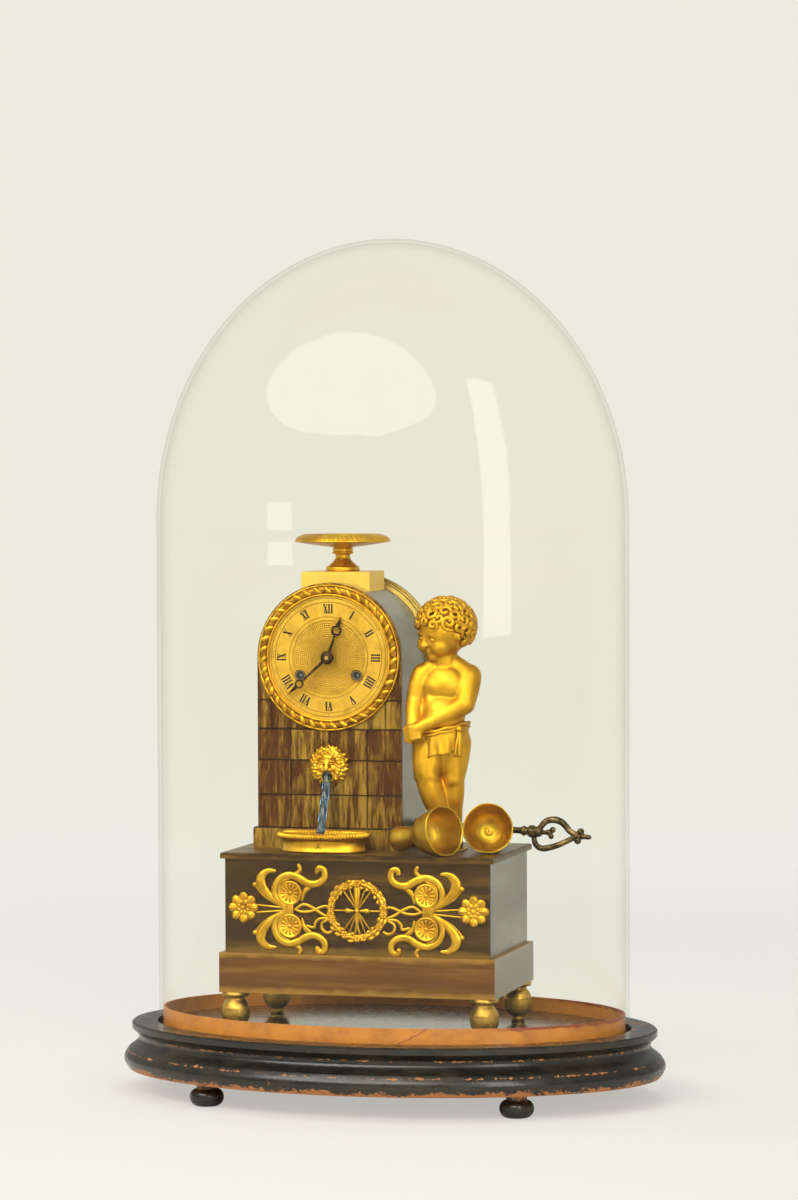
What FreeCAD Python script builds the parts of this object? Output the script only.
import FreeCAD, Part
import math
import os
import Sketcher
from FreeCAD import Matrix, Placement, Rotation, Vector

# A gilt fountain clock on an oval stand, under a lift-off glass dome.
# Millimetres. The origin is the middle of the stand's underside, +Z is up, and the dial faces -Y.

SIZES = {
    # Oval stand and dome
    "stand_height": 46.0,
    "stand_foot_height": 15.0,
    "stand_foot_radius": 11.0,
    "stand_foot_x": 103.0,
    "stand_foot_y": 80.0,
    "dome_half_length": 158.6,
    "dome_half_width": 97.1,
    "dome_wall": 2.5,
    "dome_height": 520.3,
    "dome_crown": 184.0,
    "groove_depth": 4.0,
    "groove_gap": 1.0,
    "rim_overhang": 18.0,
    "rim_band": 4.5,
    "hollow_height": 13.0,
    "hollow_depth": 5.5,
    "shoulder_overhang": 20.0,
    "torus_swell": 3.4,
    "strip_wall": 1.2,
    "strip_height": 13.5,
    "strip_gap": 0.4,
    # Place of the clock on its stand
    "clock_x": -5.8,
    "clock_y": -14.1,
    # Box that carries the case
    "foot_height": 26.3,
    "foot_inset_x": 9.0,
    "foot_inset_y": 8.35,
    "foot_ball_radius": 9.4,
    "foot_button_radius": 5.2,
    "stud_radius": 2.0,
    "plinth_width": 184.0,
    "plinth_depth": 109.5,
    "plinth_height": 25.8,
    "plinth_wall": 5.0,
    "bottom_wall": 2.5,
    "box_width": 176.8,
    "box_depth": 104.1,
    "box_height": 61.1,
    "box_wall": 2.5,
    "slab_width": 182.4,
    "slab_depth": 108.4,
    "slab_wall": 3.8,
    "slab_bevel": 0.8,
    "nut_width": 6.4,
    "nut_height": 3.0,
    "hole_clearance": 0.06,
    "seat_gap": 0.3,
    # Arched case
    "case_x": -29.6,
    "case_front": -10.4,
    "case_depth": 62.4,
    "case_half_width": 48.9,
    "arch_height": 125.2,
    "front_wall": 3.0,
    "case_wall": 2.0,
    "joint_width": 0.7,
    "joint_depth": 0.5,
    "course_height": 21.7,
    "skirting_height": 13.3,
    "skirting_wall": 2.6,
    "bolt_radius": 1.6,
    "bolt_inset": 7.5,
    # Rear ring and cover
    "ring_radius": 53.4,
    "ring_bore": 45.0,
    "ring_lip": 43.0,
    "ring_depth": 12.0,
    "cover_radius": 50.0,
    "cover_wall": 1.2,
    "knob_radius": 3.6,
    # Finial
    "block_width": 46.7,
    "block_depth": 36.6,
    "block_front": 16.1,
    "block_rise": 6.9,
    "block_drop": 13.0,
    "tazza_radius": 32.0,
    "tazza_height": 26.0,
    "tazza_lip": 26.8,
    # Dial and hands
    "bezel_radius": 47.6,
    "bezel_opening": 40.4,
    "bezel_depth": 6.1,
    "front_opening": 44.6,
    "dial_radius": 43.0,
    "dial_wall": 1.0,
    "arbor_x": 19.2,
    "arbor_drop": 11.7,
    "arbor_radius": 1.9,
    "winding_hole": 3.0,
    "hand_wall": 0.6,
    "hour_hand_length": 28.6,
    "minute_hand_length": 36.8,
    "strap_width": 8.0,
    "strap_wall": 1.2,
    # Going train
    "plate_radius": 42.5,
    "plate_wall": 2.0,
    "plate_gap": 38.4,
    "dial_gap": 6.2,
    "pillar_radius": 2.5,
    "pillar_circle": 38.5,
    "barrel_module": 0.45,
    "train_module": 0.4,
    "escape_module": 0.35,
    "barrel_radius": 15.5,
    "barrel_length": 24.0,
    "wheel_wall": 1.3,
    "pivot_radius": 0.9,
    "pipe_radius": 2.2,
    "hour_pipe_radius": 3.2,
    "centre_arbor_radius": 1.2,
    "escape_drop": 13.0,
    "pendulum_length": 122.0,
    "bob_radius": 16.0,
    "bob_wall": 6.0,
    "bell_radius": 29.0,
    "bell_depth": 8.0,
    # Fountain
    "mask_radius": 13.8,
    "mask_height": 8.4,
    "mask_rise": 54.6,
    "mouth_drop": 6.1,
    "rod_radius": 2.6,
    "rod_start": 5.5,
    "rod_reach": 21.6,
    "rod_drop": 37.2,
    "basin_half_width": 31.0,
    "basin_half_depth": 19.3,
    "basin_height": 13.2,
    "basin_wall": 1.6,
    "basin_rim": 4.6,
    "grid_drop": 3.6,
    "fountain_module": 0.5,
    "fountain_gap": 21.9,
    "fountain_drop": 15.5,
    "bevel_radius": 2.6,
    # Figure
    "figure_x": 43.8,
    "figure_y": -6.0,
    "figure_height": 164.0,
    "figure_base_height": 3.0,
    # Goblets and key
    "goblet_height": 45.0,
    "goblet_radius": 16.6,
    "goblet_wall": 1.1,
    "goblet_foot_radius": 8.3,
    "goblet_left_x": 20.4,
    "goblet_left_y": -25.0,
    "goblet_right_x": 71.4,
    "goblet_right_y": 18.5,
    "key_x": 22.9,
    "key_y": 26.0,
    "key_rise": 14.5,
    "key_length": 118.0,
    "key_hole_radius": 3.4,
    "key_shank_radius": 2.1,
    "key_bow_height": 21.0,
    # Front mounts
    "mount_wall": 2.2,
    "wreath_radius": 21.0,
    "wreath_band": 7.0,
    "wreath_x": 0.6,
    "mount_middle": 29.0,
    "scroll_inset": 13.0,
    "pin_radius": 1.0,
}


class Size:
    """A length that keeps both its value and the sheet expression that gives it."""

    def __init__(self, value, text):
        self.value = value
        self.text = text

    def _join(self, other, sign, value, swap=False):
        mine, theirs = self.text, words(other)
        if swap:
            mine, theirs = theirs, mine
        return Size(value, "(%s %s %s)" % (mine, sign, theirs))

    def __add__(self, other):
        return self._join(other, "+", self.value + float(other))

    __radd__ = __add__

    def __sub__(self, other):
        return self._join(other, "-", self.value - float(other))

    def __rsub__(self, other):
        return self._join(other, "-", float(other) - self.value, True)

    def __mul__(self, other):
        return self._join(other, "*", self.value * float(other))

    __rmul__ = __mul__

    def __truediv__(self, other):
        return self._join(other, "/", self.value / float(other))

    def __neg__(self):
        return Size(-self.value, "(0 - %s)" % self.text)

    def __float__(self):
        return self.value


def words(value):
    """Return what stands for a value inside an expression."""
    return value.text if isinstance(value, Size) else repr(float(value))


doc = FreeCAD.newDocument("FountainClock")
sheet = doc.addObject("Spreadsheet::Sheet", "Sizes")
for row, (alias, number) in enumerate(SIZES.items(), start=1):
    sheet.set("A%d" % row, alias)
    sheet.set("B%d" % row, str(number))
    sheet.setAlias("B%d" % row, alias)
doc.recompute()


class Sheet:
    """Reads a named size from the sheet, with its expression."""

    def __getattr__(self, alias):
        return Size(float(getattr(sheet, alias)), "Sizes." + alias)


S = Sheet()
nodes = {}

# Heights and places that several pieces share
platform = S.stand_height
plinth_base = platform + S.foot_height
box_base = plinth_base + S.plinth_height
slab_base = box_base + S.box_height
slab_top = slab_base + S.slab_wall
arch_z = slab_top + S.arch_height
case_x = S.clock_x + S.case_x
case_front = S.clock_y + S.case_front
case_back = case_front + S.case_depth
plate_front = case_front + S.front_wall + S.strap_width * 0.375
plate_back = plate_front + S.plate_wall + S.plate_gap
UPRIGHT = Rotation()
FACING = Rotation(Vector(1, 0, 0), 90)


# Helpers for sketches, solids and placements

def node(thing, label):
    """Keep a finished sub-part under its own name."""
    thing.Label = label
    nodes[label] = thing
    return thing


def place(thing, x=0, y=0, z=0, turn=UPRIGHT):
    """Put an object somewhere and bind its place to the sheet."""
    thing.Placement = Placement(Vector(float(x), float(y), float(z)), turn)
    for axis, value in (("x", x), ("y", y), ("z", z)):
        if isinstance(value, Size):
            thing.setExpression("Placement.Base." + axis, value.text)
    return thing


def bind(thing, **sizes):
    """Set properties and bind the ones that come from the sheet."""
    for name, value in sizes.items():
        setattr(thing, name, float(value))
        if isinstance(value, Size):
            thing.setExpression(name, value.text)
    return thing


def vertex(point):
    """Return a sketch point as a vector."""
    return Vector(float(point[0]), float(point[1]), 0)


def sketch_outline(sketch, points):
    """Draw one closed outline; a third number in a point bends the edge that follows it."""
    first = sketch.GeometryCount
    count = len(points)
    for index, point in enumerate(points):
        start, end = vertex(point), vertex(points[(index + 1) % count])
        if len(point) > 2:
            across = end - start
            middle = (start + end) * 0.5 + Vector(across.y, -across.x, 0) * (point[2] * 0.5)
            sketch.addGeometry(Part.Arc(start, middle, end), False)
        else:
            sketch.addGeometry(Part.LineSegment(start, end), False)
    for index, point in enumerate(points):
        here, after = first + index, first + (index + 1) % count
        target = vertex(points[(index + 1) % count])
        ends = [1 if (sketch.getPoint(g, 1) - target).Length < (sketch.getPoint(g, 2) - target).Length else 2
                for g in (here, after)]
        sketch.addConstraint(Sketcher.Constraint("Coincident", here, ends[0], after, ends[1]))
        bind_point(sketch, after, ends[1], points[(index + 1) % count])
        if len(point) > 2:
            bend_radius(sketch, here, point, points[(index + 1) % count])


def bind_point(sketch, geometry, end, point):
    """Tie one sketch point to the sheet."""
    for kind, value in (("DistanceX", point[0]), ("DistanceY", point[1])):
        index = sketch.addConstraint(Sketcher.Constraint(kind, -1, 1, geometry, end, float(value)))
        if isinstance(value, Size):
            sketch.setExpression("Constraints[%d]" % index, value.text)


def bend_radius(sketch, geometry, start, end):
    """Tie an arc's radius to its chord, which keeps its bend; a half round has its centre tied instead."""
    bulge = abs(start[2])
    if bulge > 0.999:
        middle = (start[1] + end[1]) / 2
        index = sketch.addConstraint(Sketcher.Constraint("DistanceY", -1, 1, geometry, 3, float(middle)))
        sketch.setExpression("Constraints[%d]" % index, words(middle))
        return
    share = (1 + bulge ** 2) / (4 * bulge)
    chord = (vertex(end) - vertex(start)).Length
    index = sketch.addConstraint(Sketcher.Constraint("Radius", geometry, chord * share))
    run = "(%s - %s)" % (words(end[0]), words(start[0]))
    rise = "(%s - %s)" % (words(end[1]), words(start[1]))
    sketch.setExpression("Constraints[%d]" % index, "sqrt(%s ^ 2 + %s ^ 2) * %r" % (run, rise, share))


def sketch_circle(sketch, x, y, radius):
    """Draw a circle whose centre and radius follow the sheet."""
    index = sketch.addGeometry(Part.Circle(vertex((x, y)), Vector(0, 0, 1), float(radius)), False)
    bind_point(sketch, index, 3, (x, y))
    constraint = sketch.addConstraint(Sketcher.Constraint("Radius", index, float(radius)))
    sketch.setExpression("Constraints[%d]" % constraint, words(radius))


def new_sketch(name, role, points, circles):
    """Start a body and draw its sketch on one of the body's own planes."""
    body = doc.addObject("PartDesign::Body", name)
    sketch = body.newObject("Sketcher::SketchObject", name + "_sketch")
    plane = [feature for feature in body.Origin.OriginFeatures if feature.Role == role][0]
    sketch.AttachmentSupport = [(plane, "")]
    sketch.MapMode = "FlatFace"
    if points:
        sketch_outline(sketch, points)
    for x, y, radius in circles:
        sketch_circle(sketch, x, y, radius)
    return body, sketch


def turned(name, points):
    """Turn a half outline, given as radius and height, about the body's own Z axis."""
    body, sketch = new_sketch(name, "XZ_Plane", points, ())
    turning = body.newObject("PartDesign::Revolution", name + "_turning")
    turning.Profile = sketch
    turning.ReferenceAxis = (sketch, ["V_Axis"])
    turning.Angle = 360
    return body


def plate(name, points, height, circles=()):
    """Pad an outline, with round holes, along the body's own Z axis."""
    body, sketch = new_sketch(name, "XY_Plane", points, circles)
    pad = body.newObject("PartDesign::Pad", name + "_pad")
    pad.Profile = sketch
    bind(pad, Length=height)
    return body


def block(name, length, width, height, x=0, y=0, z=0):
    """Make a box from its lowest corner."""
    box = bind(doc.addObject("Part::Box", name), Length=length, Width=width, Height=height)
    return place(box, x, y, z)


def rod(name, radius, height, x=0, y=0, z=0, turn=UPRIGHT):
    """Make a cylinder along its own Z axis."""
    cylinder = bind(doc.addObject("Part::Cylinder", name), Radius=radius, Height=height)
    return place(cylinder, x, y, z, turn)


def cut(name, base, tools):
    """Take tools away from a base solid."""
    tool = tools[0] if len(tools) == 1 else fuse(name + "_tools", tools)
    result = doc.addObject("Part::Cut", name)
    result.Base = base
    result.Tool = tool
    return result


def fuse(name, shapes):
    """Join solids into one."""
    result = doc.addObject("Part::MultiFuse", name)
    result.Shapes = shapes
    return result


def group(name, shapes):
    """Keep several separate solids in one piece of the document."""
    result = doc.addObject("Part::Compound", name)
    result.Links = shapes
    return result


def free(name, shape, x=0, y=0, z=0, turn=UPRIGHT):
    """Hold a shape made from Part's own curves and lofts."""
    feature = doc.addObject("Part::Feature", name)
    feature.Shape = shape
    return place(feature, x, y, z, turn)


def mirrored(name, source, normal, x=0, y=0):
    """Mirror a piece in an upright plane."""
    mirror = doc.addObject("Part::Mirroring", name)
    mirror.Source = source
    mirror.Normal = normal
    for axis, value in (("x", x), ("y", y)):
        if isinstance(value, Size):
            mirror.setExpression("Base." + axis, value.text)
    return mirror


def four(label, corner, x, y):
    """Repeat a corner piece in all four corners about an upright axis."""
    across = mirrored(label + "_right", corner, Vector(1, 0, 0), x)
    back = mirrored(label + "_back", corner, Vector(0, 1, 0), 0, y)
    far = mirrored(label + "_far", across, Vector(0, 1, 0), 0, y)
    return node(group(label, [corner, across, back, far]), label)


def oblong(width, depth):
    """Return the corners of a rectangle about the origin."""
    return [(-width / 2, -depth / 2), (width / 2, -depth / 2), (width / 2, depth / 2),
            (-width / 2, depth / 2)]


def wire_face(points):
    """Return the face inside a closed run of numbers."""
    corners = [Vector(x, y, 0) for x, y in points]
    return Part.Face(Part.makePolygon(corners + corners[:1]))


def ball(centre, radius):
    """Return a sphere."""
    return Part.makeSphere(radius, centre)


def limb(start, start_radius, end, end_radius):
    """Return a rounded, tapering limb between two points."""
    along = end - start
    if abs(start_radius - end_radius) < along.Length * 1e-4:
        shaft = Part.makeCylinder(start_radius, along.Length, start, along)
    else:
        shaft = Part.makeCone(start_radius, end_radius, along.Length, start, along)
    return [shaft, ball(start, start_radius), ball(end, end_radius)]


def egg(centre, half_sizes, turn=UPRIGHT):
    """Return a ball stretched to three half sizes."""
    matrix = Matrix()
    matrix.scale(*half_sizes)
    shape = Part.makeSphere(1).transformGeometry(matrix)
    shape.Placement = Placement(centre, turn)
    return shape


def join(shapes):
    """Fuse a list of shapes."""
    return shapes[0].multiFuse(shapes[1:]).removeSplitter()


# Oval stand

def oval_wire(overhang, height):
    """Return an oval that stands out from the dome's outline."""
    half_length = float(S.dome_half_length) + overhang
    half_width = float(S.dome_half_width) + overhang
    return Part.Wire(Part.Ellipse(Vector(0, 0, height), half_length, half_width).toShape())


def oval_solid(overhang, low, high):
    """Return an upright oval block."""
    return Part.Face(oval_wire(overhang, low)).extrude(Vector(0, 0, high - low))


def moulding(low, high, first, last, swell, steps):
    """Return a band whose edge swells or hollows between two overhangs."""
    rings = []
    for step in range(steps + 1):
        share = step / steps
        overhang = first + (last - first) * share + swell * math.sin(math.pi * share)
        rings.append(oval_wire(overhang, low + (high - low) * share))
    return Part.makeLoft(rings, True, False)


def build_stand():
    """Model the ebonised oval stand, its feet, board, paper strip and dome."""
    top, base = float(platform), float(S.stand_foot_height)
    rim = float(S.rim_overhang)
    shoulder = float(S.shoulder_overhang)
    band_base = top - float(S.rim_band)
    hollow_base = band_base - float(S.hollow_height)
    bevel = float(S.rim_band) / 4
    torus = moulding(base, hollow_base, shoulder, shoulder, float(S.torus_swell), 6)
    hollow = moulding(hollow_base, band_base, shoulder, rim, -float(S.hollow_depth), 6)
    band = oval_solid(rim, band_base, top - bevel)
    edge = Part.makeLoft([oval_wire(rim, top - bevel), oval_wire(rim - bevel, top)], True, True)
    groove_floor = top - float(S.groove_depth)
    groove = oval_solid(float(S.groove_gap), groove_floor, top + bevel)
    base_shape = join([torus, hollow, band, edge]).cut(groove)
    node(free("stand_base_solid", base_shape), "stand_base")

    bun = turned("stand_foot", [
        (0, 0), (S.stand_foot_radius * 0.62, 0, 0.35), (S.stand_foot_radius, S.stand_foot_height * 0.36,
                                                        0.42),
        (S.stand_foot_radius * 0.6, S.stand_foot_height * 0.74), (S.stand_foot_radius * 0.6,
                                                                  S.stand_foot_height),
        (0, S.stand_foot_height)])
    place(bun, -S.stand_foot_x, -S.stand_foot_y, 0)
    four("stand_feet", bun, 0, 0)

    strip_out = -float(S.dome_wall) - float(S.strip_gap)
    strip_in = strip_out - float(S.strip_wall)
    strip_top = groove_floor + float(S.strip_height)
    strip = oval_solid(strip_out, groove_floor, strip_top).cut(oval_solid(strip_in, groove_floor, strip_top))
    node(free("edge_strip_solid", strip), "edge_strip")
    node(free("platform_board_solid", oval_solid(strip_in, groove_floor, top)), "platform_board")

    node(free("dome_solid", dome_shape(), 0, 0, S.stand_height - S.groove_depth), "glass_dome")


def dome_shape():
    """Turn the dome's wall about its axis, then press the round into an oval."""
    radius, wall = float(S.dome_half_length), float(S.dome_wall)
    height, crown = float(S.dome_height), float(S.dome_crown)
    spring = height - crown
    outer, inner = quarter(radius, crown, spring), quarter(radius - wall, crown - wall, spring)
    lines = [Part.makeLine(Vector(radius - wall, 0, 0), Vector(radius, 0, 0)),
             Part.makeLine(Vector(radius, 0, 0), Vector(radius, 0, spring)), outer,
             Part.makeLine(Vector(0, 0, height), Vector(0, 0, height - wall)), inner,
             Part.makeLine(Vector(radius - wall, 0, spring), Vector(radius - wall, 0, 0))]
    section = Part.Face(Part.Wire(Part.__sortEdges__(lines)))
    round_dome = section.revolve(Vector(0, 0, 0), Vector(0, 0, 1), 360)
    press = Matrix()
    press.scale(1, float(S.dome_half_width) / radius, 1)
    return round_dome.transformGeometry(press)


def quarter(radius, crown, spring):
    """Return a quarter of an upright ellipse, from its side to its top."""
    centre = Vector(0, 0, spring)
    side, top = Vector(radius, 0, spring), Vector(0, 0, spring + crown)
    if crown > radius:
        ellipse = Part.Ellipse(top, side, centre)
    else:
        ellipse = Part.Ellipse(side, top, centre)
    low, high = sorted((ellipse.parameter(side), ellipse.parameter(top)))
    if high - low > math.pi:
        low, high = high, low + 2 * math.pi
    return ellipse.toShape(low, high)


# Box on its four turned feet

def build_box():
    """Model the feet, plinth, panels, slab and fixings of the box."""
    ball_radius, height = S.foot_ball_radius, S.foot_height
    foot = turned("clock_foot", [
        (0, 0), (S.foot_button_radius * 0.8, 0, 0.6), (S.foot_button_radius * 0.8, height * 0.19),
        (S.foot_button_radius * 0.66, height * 0.23, 0.06), (ball_radius, height * 0.58, 0.1),
        (ball_radius * 0.97, height * 0.87), (ball_radius * 0.9, height * 0.9), (ball_radius, height * 0.93),
        (ball_radius, height), (S.stud_radius, height),
        (S.stud_radius, height + S.bottom_wall + S.nut_height),
        (0, height + S.bottom_wall + S.nut_height)])
    foot_x, foot_y = foot_spots()[0]
    place(foot, S.clock_x + foot_x, S.clock_y + foot_y, platform)
    four("clock_feet", foot, S.clock_x, S.clock_y)

    stud_hole = S.stud_radius + S.hole_clearance
    inner_width = S.plinth_width - S.plinth_wall * 2
    inner_depth = S.plinth_depth - S.plinth_wall * 2
    corners = [(x, y, stud_hole) for x, y in foot_spots()]
    floor = plate("bottom_plate_body", oblong(inner_width - S.seat_gap, inner_depth - S.seat_gap),
                  S.bottom_wall, corners)
    node(place(floor, S.clock_x, S.clock_y, plinth_base), "bottom_plate")

    frame = block("plinth_outer", S.plinth_width, S.plinth_depth, S.plinth_height,
                  S.clock_x - S.plinth_width / 2, S.clock_y - S.plinth_depth / 2, plinth_base)
    hollow = block("plinth_inner", inner_width, inner_depth, S.plinth_height * 2,
                   S.clock_x - inner_width / 2, S.clock_y - inner_depth / 2,
                   plinth_base - S.plinth_height / 2)
    node(cut("plinth_ring", frame, [hollow]), "plinth_frame")

    left = S.clock_x - S.box_width / 2
    front = S.clock_y - S.box_depth / 2
    panel = block("front_sheet", S.box_width, S.box_wall, S.box_height, left, front, box_base)
    node(cut("front_drilled", panel, mount_holes()), "front_panel")
    shell = block("shell_outer", S.box_width, S.box_depth - S.box_wall, S.box_height, left,
                  front + S.box_wall, box_base)
    space = block("shell_inner", S.box_width - S.box_wall * 2, S.box_depth - S.box_wall * 2,
                  S.box_height * 2,
                  left + S.box_wall, front, box_base - S.box_height / 2)
    node(cut("shell_bent", shell, [space]), "case_shell")

    slab = plate("slab_body", oblong(S.slab_width, S.slab_depth), S.slab_wall, slab_holes())
    edges = slab.newObject("PartDesign::Chamfer", "slab_edge")
    doc.recompute()
    pad = doc.getObject("slab_body_pad")
    rims = [index + 1 for index, edge in enumerate(pad.Shape.Edges)
            if edge.BoundBox.ZLength < 1e-6 and isinstance(edge.Curve, Part.Line)
            and abs(edge.BoundBox.ZMin - float(S.slab_wall)) < 1e-6]
    edges.Base = (pad, ["Edge%d" % index for index in rims])
    bind(edges, Size=S.slab_bevel)
    slab.Tip = edges
    node(place(slab, S.clock_x, S.clock_y, slab_base), "top_slab")


def bolt_places():
    """Return the four case bolts' places, from the clock's own middle."""
    reach = S.case_half_width - S.case_wall - S.bolt_inset
    front = S.case_front + S.front_wall + S.bolt_inset
    back = S.case_front + S.case_depth - S.case_wall - S.bolt_inset
    return [(S.case_x + x, y) for x in (-reach, reach) for y in (front, back)]


def slab_holes():
    """Return the holes for the case bolts, the figure's stud and the basin's stud."""
    bolt_hole = S.bolt_radius + S.hole_clearance
    holes = [(x, y, bolt_hole) for x, y in bolt_places()]
    holes.append((S.figure_x, S.figure_y, S.stud_radius + S.hole_clearance))
    holes.append((S.case_x, basin_middle() - S.clock_y, S.stud_radius + S.hole_clearance))
    return holes


def foot_spots():
    """Return the feet's four places, from the plinth's middle."""
    across = S.plinth_width / 2 - S.foot_inset_x
    deep = S.plinth_depth / 2 - S.foot_inset_y
    return [(x, y) for x in (-across, across) for y in (-deep, deep)]


def mount_spots():
    """Return each front mount's two pins, from the front panel's middle."""
    side = S.box_width / 2 - S.scroll_inset - S.wreath_radius
    return [(S.wreath_x - S.wreath_radius * 0.86, 0), (S.wreath_x + S.wreath_radius * 0.86, 0),
            (-side, S.wreath_band), (-side, -S.wreath_band), (side, S.wreath_band), (side, -S.wreath_band)]


def mount_holes():
    """Return drills for the mounts' pins through the front panel."""
    front = S.clock_y - S.box_depth / 2
    return [rod("pin_drill_%d" % index, S.pin_radius + S.hole_clearance, S.box_wall * 2,
                S.clock_x + x, front + S.box_wall * 1.5, box_base + S.mount_middle + z, FACING)
            for index, (x, z) in enumerate(mount_spots())]


def build_nuts():
    """Model the identical square nuts under the box and under the slab."""
    nuts = []
    hole = S.stud_radius + S.hole_clearance
    floor = plinth_base + S.bottom_wall
    places = [(S.clock_x + x, S.clock_y + y, floor) for x, y in foot_spots()]
    under = slab_base - S.nut_height
    places += [(S.clock_x + S.figure_x, S.clock_y + S.figure_y, under), (case_x, basin_middle(), under)]
    for index, (x, y, z) in enumerate(places):
        nut = plate("nut_%d" % index, oblong(S.nut_width, S.nut_width), S.nut_height, [(0, 0, hole)])
        nuts.append(place(nut, x, y, z))
    node(group("nut_group", nuts), "fixing_nuts")


# Gilt mounts on the front of the box

def stroke(points, half_width):
    """Return a flat tapering ribbon along a smooth run through the points."""
    run = smooth_run(points, 4)
    left, right = [], []
    for index, (x, y) in enumerate(run):
        before, after = run[max(index - 1, 0)], run[min(index + 1, len(run) - 1)]
        along = math.hypot(after[0] - before[0], after[1] - before[1])
        across_x, across_y = (before[1] - after[1]) / along, (after[0] - before[0]) / along
        width = half_width * (1 - 0.5 * index / len(run))
        left.append((x + across_x * width, y + across_y * width))
        right.append((x - across_x * width, y - across_y * width))
    return wire_face(left + right[::-1])


def smooth_run(points, steps):
    """Return a smooth run of numbers that passes through the points."""
    padded = [points[0]] + list(points) + [points[-1]]
    run = []
    for index in range(1, len(padded) - 2):
        before, start, end, after = padded[index - 1:index + 3]
        for step in range(steps):
            share = step / steps
            run.append(tuple(0.5 * (2 * b + (c - a) * share + (2 * a - 5 * b + 4 * c - d) * share ** 2
                                    + (3 * b - a - 3 * c + d) * share ** 3)
                             for a, b, c, d in zip(before, start, end, after)))
    return run + [padded[-1]]


def petal_ring(x, y, radius, count):
    """Return a round flower of overlapping petals."""
    petal = radius * math.sin(math.pi / count) * 1.15
    reach = radius - petal
    turns = [2 * math.pi * index / count for index in range(count)]
    return [disc(x + reach * math.cos(turn), y + reach * math.sin(turn), petal) for turn in turns] + [
        disc(x, y, reach)]


def disc(x, y, radius):
    """Return a flat disc."""
    return Part.Face(Part.Wire(Part.makeCircle(radius, Vector(x, y, 0))))


def raised(layers):
    """Raise each flat face to its own height and join them into a relief."""
    solids = [face.extrude(Vector(0, 0, height)) for face, height in layers]
    relief = solids[0]
    for solid in solids[1:]:
        relief = relief.fuse(solid)
    return relief


def wreath_shape():
    """Model the wreath, with its crossed torches and bow, and two pins."""
    radius, band, wall = float(S.wreath_radius), float(S.wreath_band), float(S.mount_wall)
    ring = Part.makeTorus(radius - band / 2, band / 2).common(
        Part.makeCylinder(radius * 2, wall * 1.3, Vector(0, 0, 0)))
    reach = radius - band * 0.6
    bars = []
    for turn in (28, -28, 0):
        bar = Part.makeBox(band * 0.3, reach * 2, wall * 0.6, Vector(-band * 0.15, -reach, 0))
        bars.append(bar.rotated(Vector(0, 0, 0), Vector(0, 0, 1), turn))
    bow = Part.makeTorus(reach * 0.55, wall * 0.45).common(
        Part.makeBox(radius * 2, radius, wall, Vector(-radius, 0, 0)))
    leaves = [Part.makeSphere(band * 0.33, Vector((radius - band * 0.25) * math.cos(turn),
                                                  (radius - band * 0.25) * math.sin(turn), wall * 0.5))
              for turn in (2 * math.pi * index / 20 for index in range(20))]
    above = Part.makeBox(radius * 4, radius * 4, radius, Vector(-radius * 2, -radius * 2, 0))
    return join([ring, bow] + bars + leaves).common(above)


SCROLL_SHARES = [(-0.42, 0.06), (-0.3, 0.5), (-0.02, 0.76), (0.24, 0.6), (0.42, 0.86), (0.66, 1.0),
                 (0.84, 0.84),
                 (0.72, 0.66), (0.6, 0.78)]
LEAF_SHARES = [(-0.42, 0.0), (-0.36, 0.42), (-0.14, 0.84), (-0.34, 0.98)]
RIBBON_SHARES = [(0.0, 0.0), (0.34, -0.1), (0.62, 0.12), (0.98, 0.02)]


def scroll_shape(hand):
    """Model one side mount: flower, two rosettes, leafy scrolls and ribbons.

    The hand is 1 for the left mount, whose flower points to -X, and -1 for the right one.
    """
    wall, half_height = float(S.mount_wall), float(S.box_height) * 0.45
    line = wall * 0.5
    span = float(S.wreath_radius) + float(S.scroll_inset)
    layers = []
    for flip in (1, -1):
        for shares, width, rise in ((SCROLL_SHARES, line, 0.8), (LEAF_SHARES, line * 1.3, 0.7)):
            points = [(hand * x * span, flip * y * half_height) for x, y in shares]
            layers.append((stroke(points, width), wall * rise))
        points = [(hand * x * span, flip * (y + 0.04) * half_height) for x, y in RIBBON_SHARES]
        layers.append((stroke(points, line * 0.7), wall * 0.5))
        layers += [(face, wall * 0.9) for face in petal_ring(0, flip * half_height * 0.39,
                                                             half_height * 0.29, 10)]
    layers += [(face, wall) for face in petal_ring(-hand * span * 0.86, 0, half_height * 0.37, 8)]
    stem = [(-hand * span * 0.8, 0), (-hand * span * 0.4, line / 2), (0, 0)]
    layers.append((stroke(stem, line * 1.4), wall * 0.6))
    layers.append((disc(0, 0, half_height * 0.16), wall * 0.95))
    return raised(layers)


def build_mounts():
    """Model the wreath and the two scroll mounts, each with its pins."""
    front = S.clock_y - S.box_depth / 2
    middle = box_base + S.mount_middle
    spots = mount_spots()
    side = S.box_width / 2 - S.scroll_inset - S.wreath_radius
    mounts = (("wreath_mount", S.wreath_x, wreath_shape(), spots[:2]),
              ("left_scroll_mount", -side, scroll_shape(1), spots[2:4]),
              ("right_scroll_mount", side, scroll_shape(-1), spots[4:]))
    pin_length = S.box_wall + S.pin_radius * 2
    for label, x, shape, pins in mounts:
        relief = free(label + "_relief", shape, S.clock_x + x, front, middle, FACING)
        studs = [rod("%s_pin_%d" % (label, index), S.pin_radius, pin_length + S.mount_wall * 0.4,
                     S.clock_x + pin_x, front + pin_length, middle + z, FACING)
                 for index, (pin_x, z) in enumerate(pins)]
        node(fuse(label + "_joined", [relief] + studs), label)


# Arched case

def arch(half_width, rise):
    """Return the outline of an upright arch that stands on the slab."""
    return [(-half_width, 0), (half_width, 0), (half_width, rise, 1.0), (-half_width, rise)]


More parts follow.
